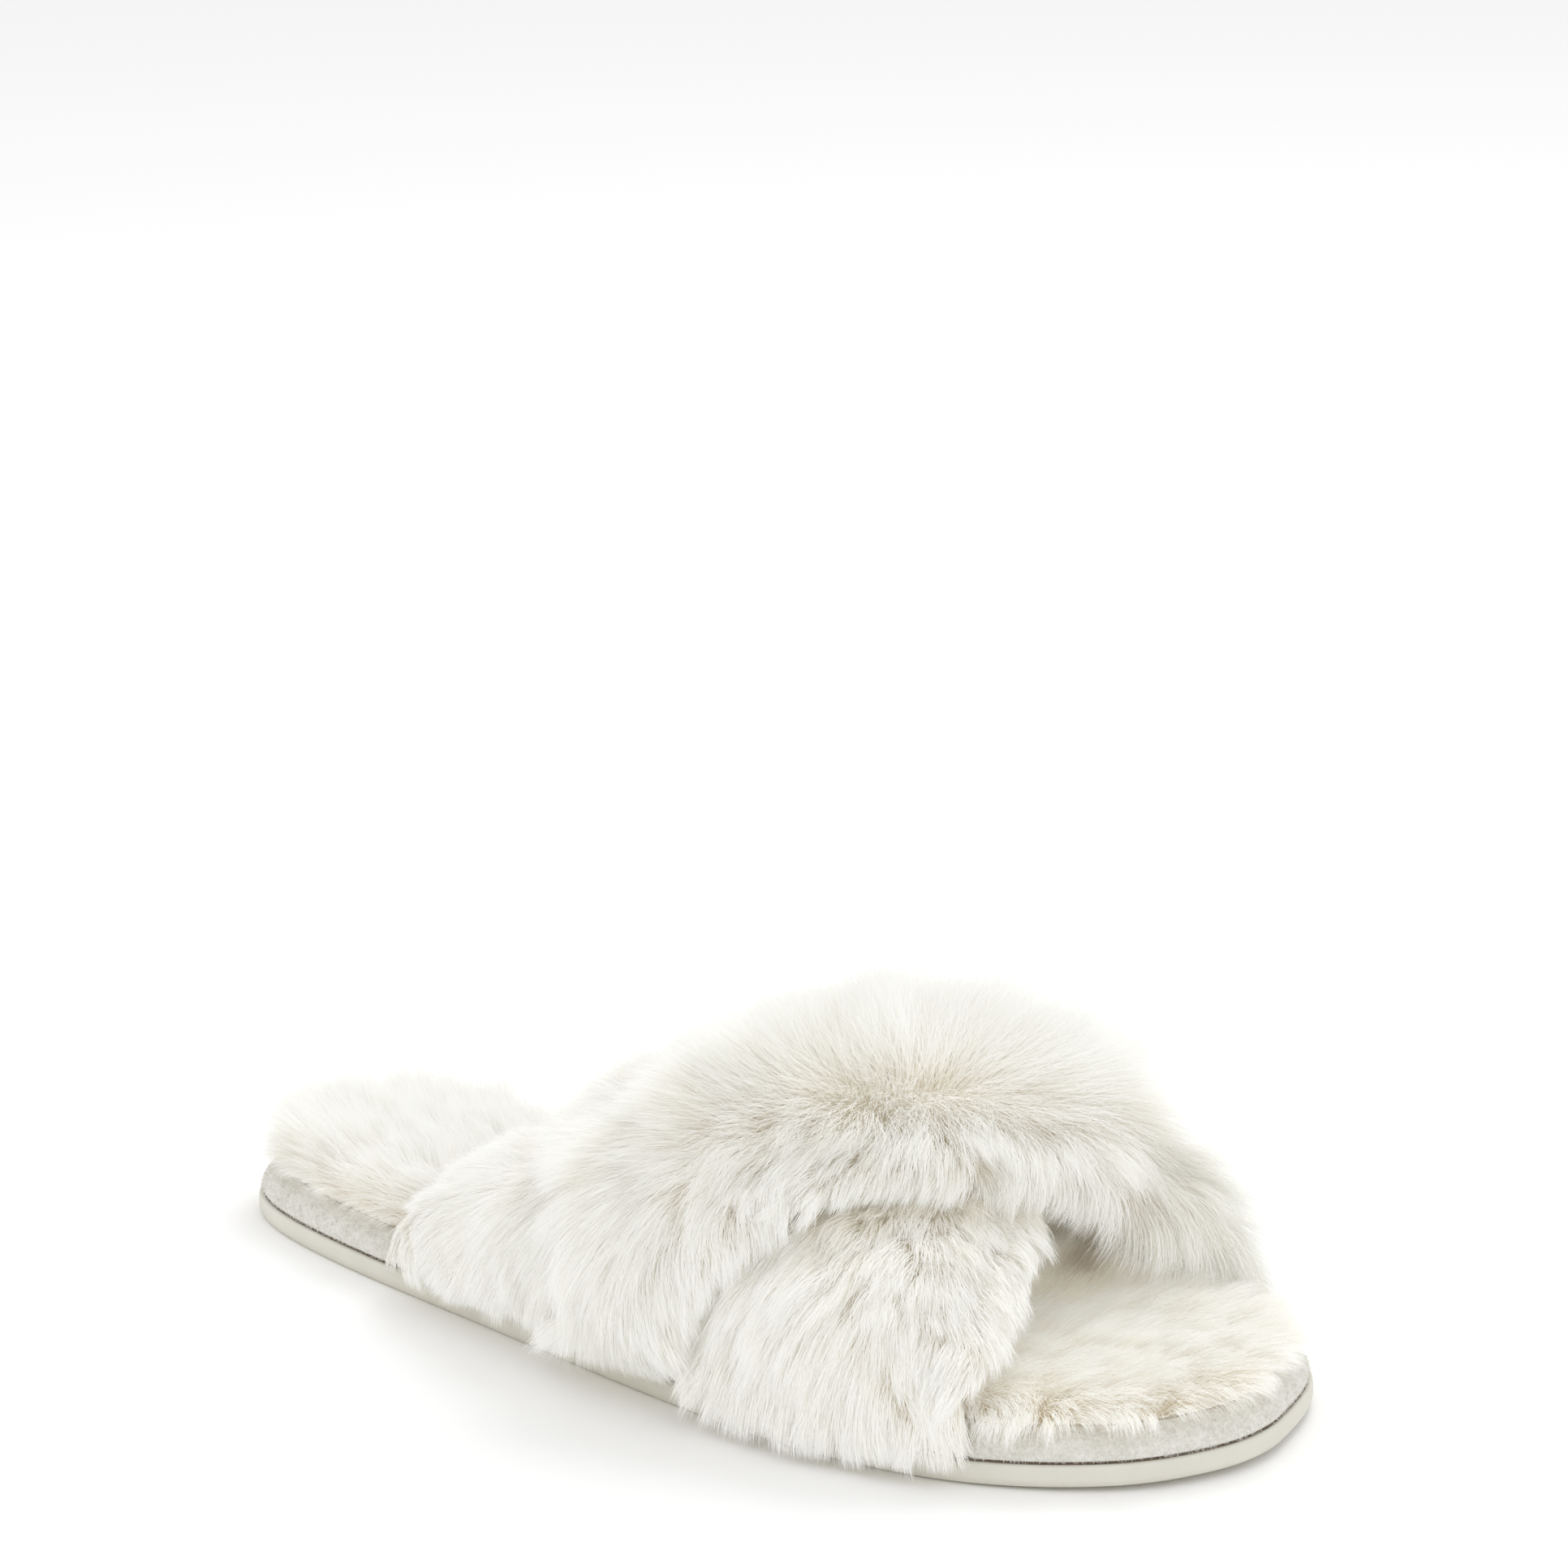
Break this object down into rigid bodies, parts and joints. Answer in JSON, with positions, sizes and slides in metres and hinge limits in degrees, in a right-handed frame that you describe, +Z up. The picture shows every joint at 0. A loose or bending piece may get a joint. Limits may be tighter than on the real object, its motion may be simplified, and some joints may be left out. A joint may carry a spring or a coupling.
{
  "type": "house slipper",
  "caption": "Open-toed, open-backed house slipper with crossed fluffy fur bands over a fur-lined cushioned footbed and a thin moulded rubber sole.",
  "frame": {"origin": "on the floor, on the flat underside of the sole, under the middle of its length", "axes": "+X along the slipper from heel to toe, +Y towards the inner side of the foot, +Z up from the floor"},
  "size_m": [0.2554, 0.1203, 0.0744],
  "materials": {
    "moulded_rubber": "smooth matte moulded sole in ivory",
    "filler_foam": "soft white foam",
    "filler_felt": "tan needle felt",
    "fibreboard": "tan stitched fibreboard",
    "memory_foam": "cream open-cell foam",
    "short_nap_knit": "brushed white knit with a short nap",
    "footbed_thread": "cream sewing thread",
    "footbed_ground_knit": "cream ground knit",
    "footbed_fur": "soft white fur pile",
    "under_band_lining_fleece": "white brushed lining",
    "under_band_interlining_foam": "cream sheet foam",
    "under_band_ground_knit": "cream ground knit",
    "under_band_fur": "long white fur pile",
    "under_band_back_seam": "cream sewing thread",
    "under_band_front_seam": "cream sewing thread",
    "over_band_lining_fleece": "white brushed lining",
    "over_band_interlining_foam": "cream sheet foam",
    "over_band_ground_knit": "cream ground knit",
    "over_band_fur": "long white fur pile",
    "over_band_back_seam": "cream sewing thread",
    "over_band_front_seam": "cream sewing thread"
  },
  "bodies": {
    "root": {"outsole": "moulded_rubber", "sole_filler": "filler_foam", "lasting_filler": "filler_felt", "insole_board": "fibreboard", "footbed_foam": "memory_foam", "footbed_wrap": "short_nap_knit", "footbed_seam_thread": "footbed_thread", "footbed_knit": "footbed_ground_knit", "footbed_pile": "footbed_fur", "under_band_lining": "under_band_lining_fleece", "under_band_foam": "under_band_interlining_foam", "under_band_knit": "under_band_ground_knit", "under_band_pile": "under_band_fur", "under_band_back_thread": "under_band_back_seam", "under_band_front_thread": "under_band_front_seam", "over_band_lining": "over_band_lining_fleece", "over_band_foam": "over_band_interlining_foam", "over_band_knit": "over_band_ground_knit", "over_band_pile": "over_band_fur", "over_band_back_thread": "over_band_back_seam", "over_band_front_thread": "over_band_front_seam"}
  },
  "joints": []
}
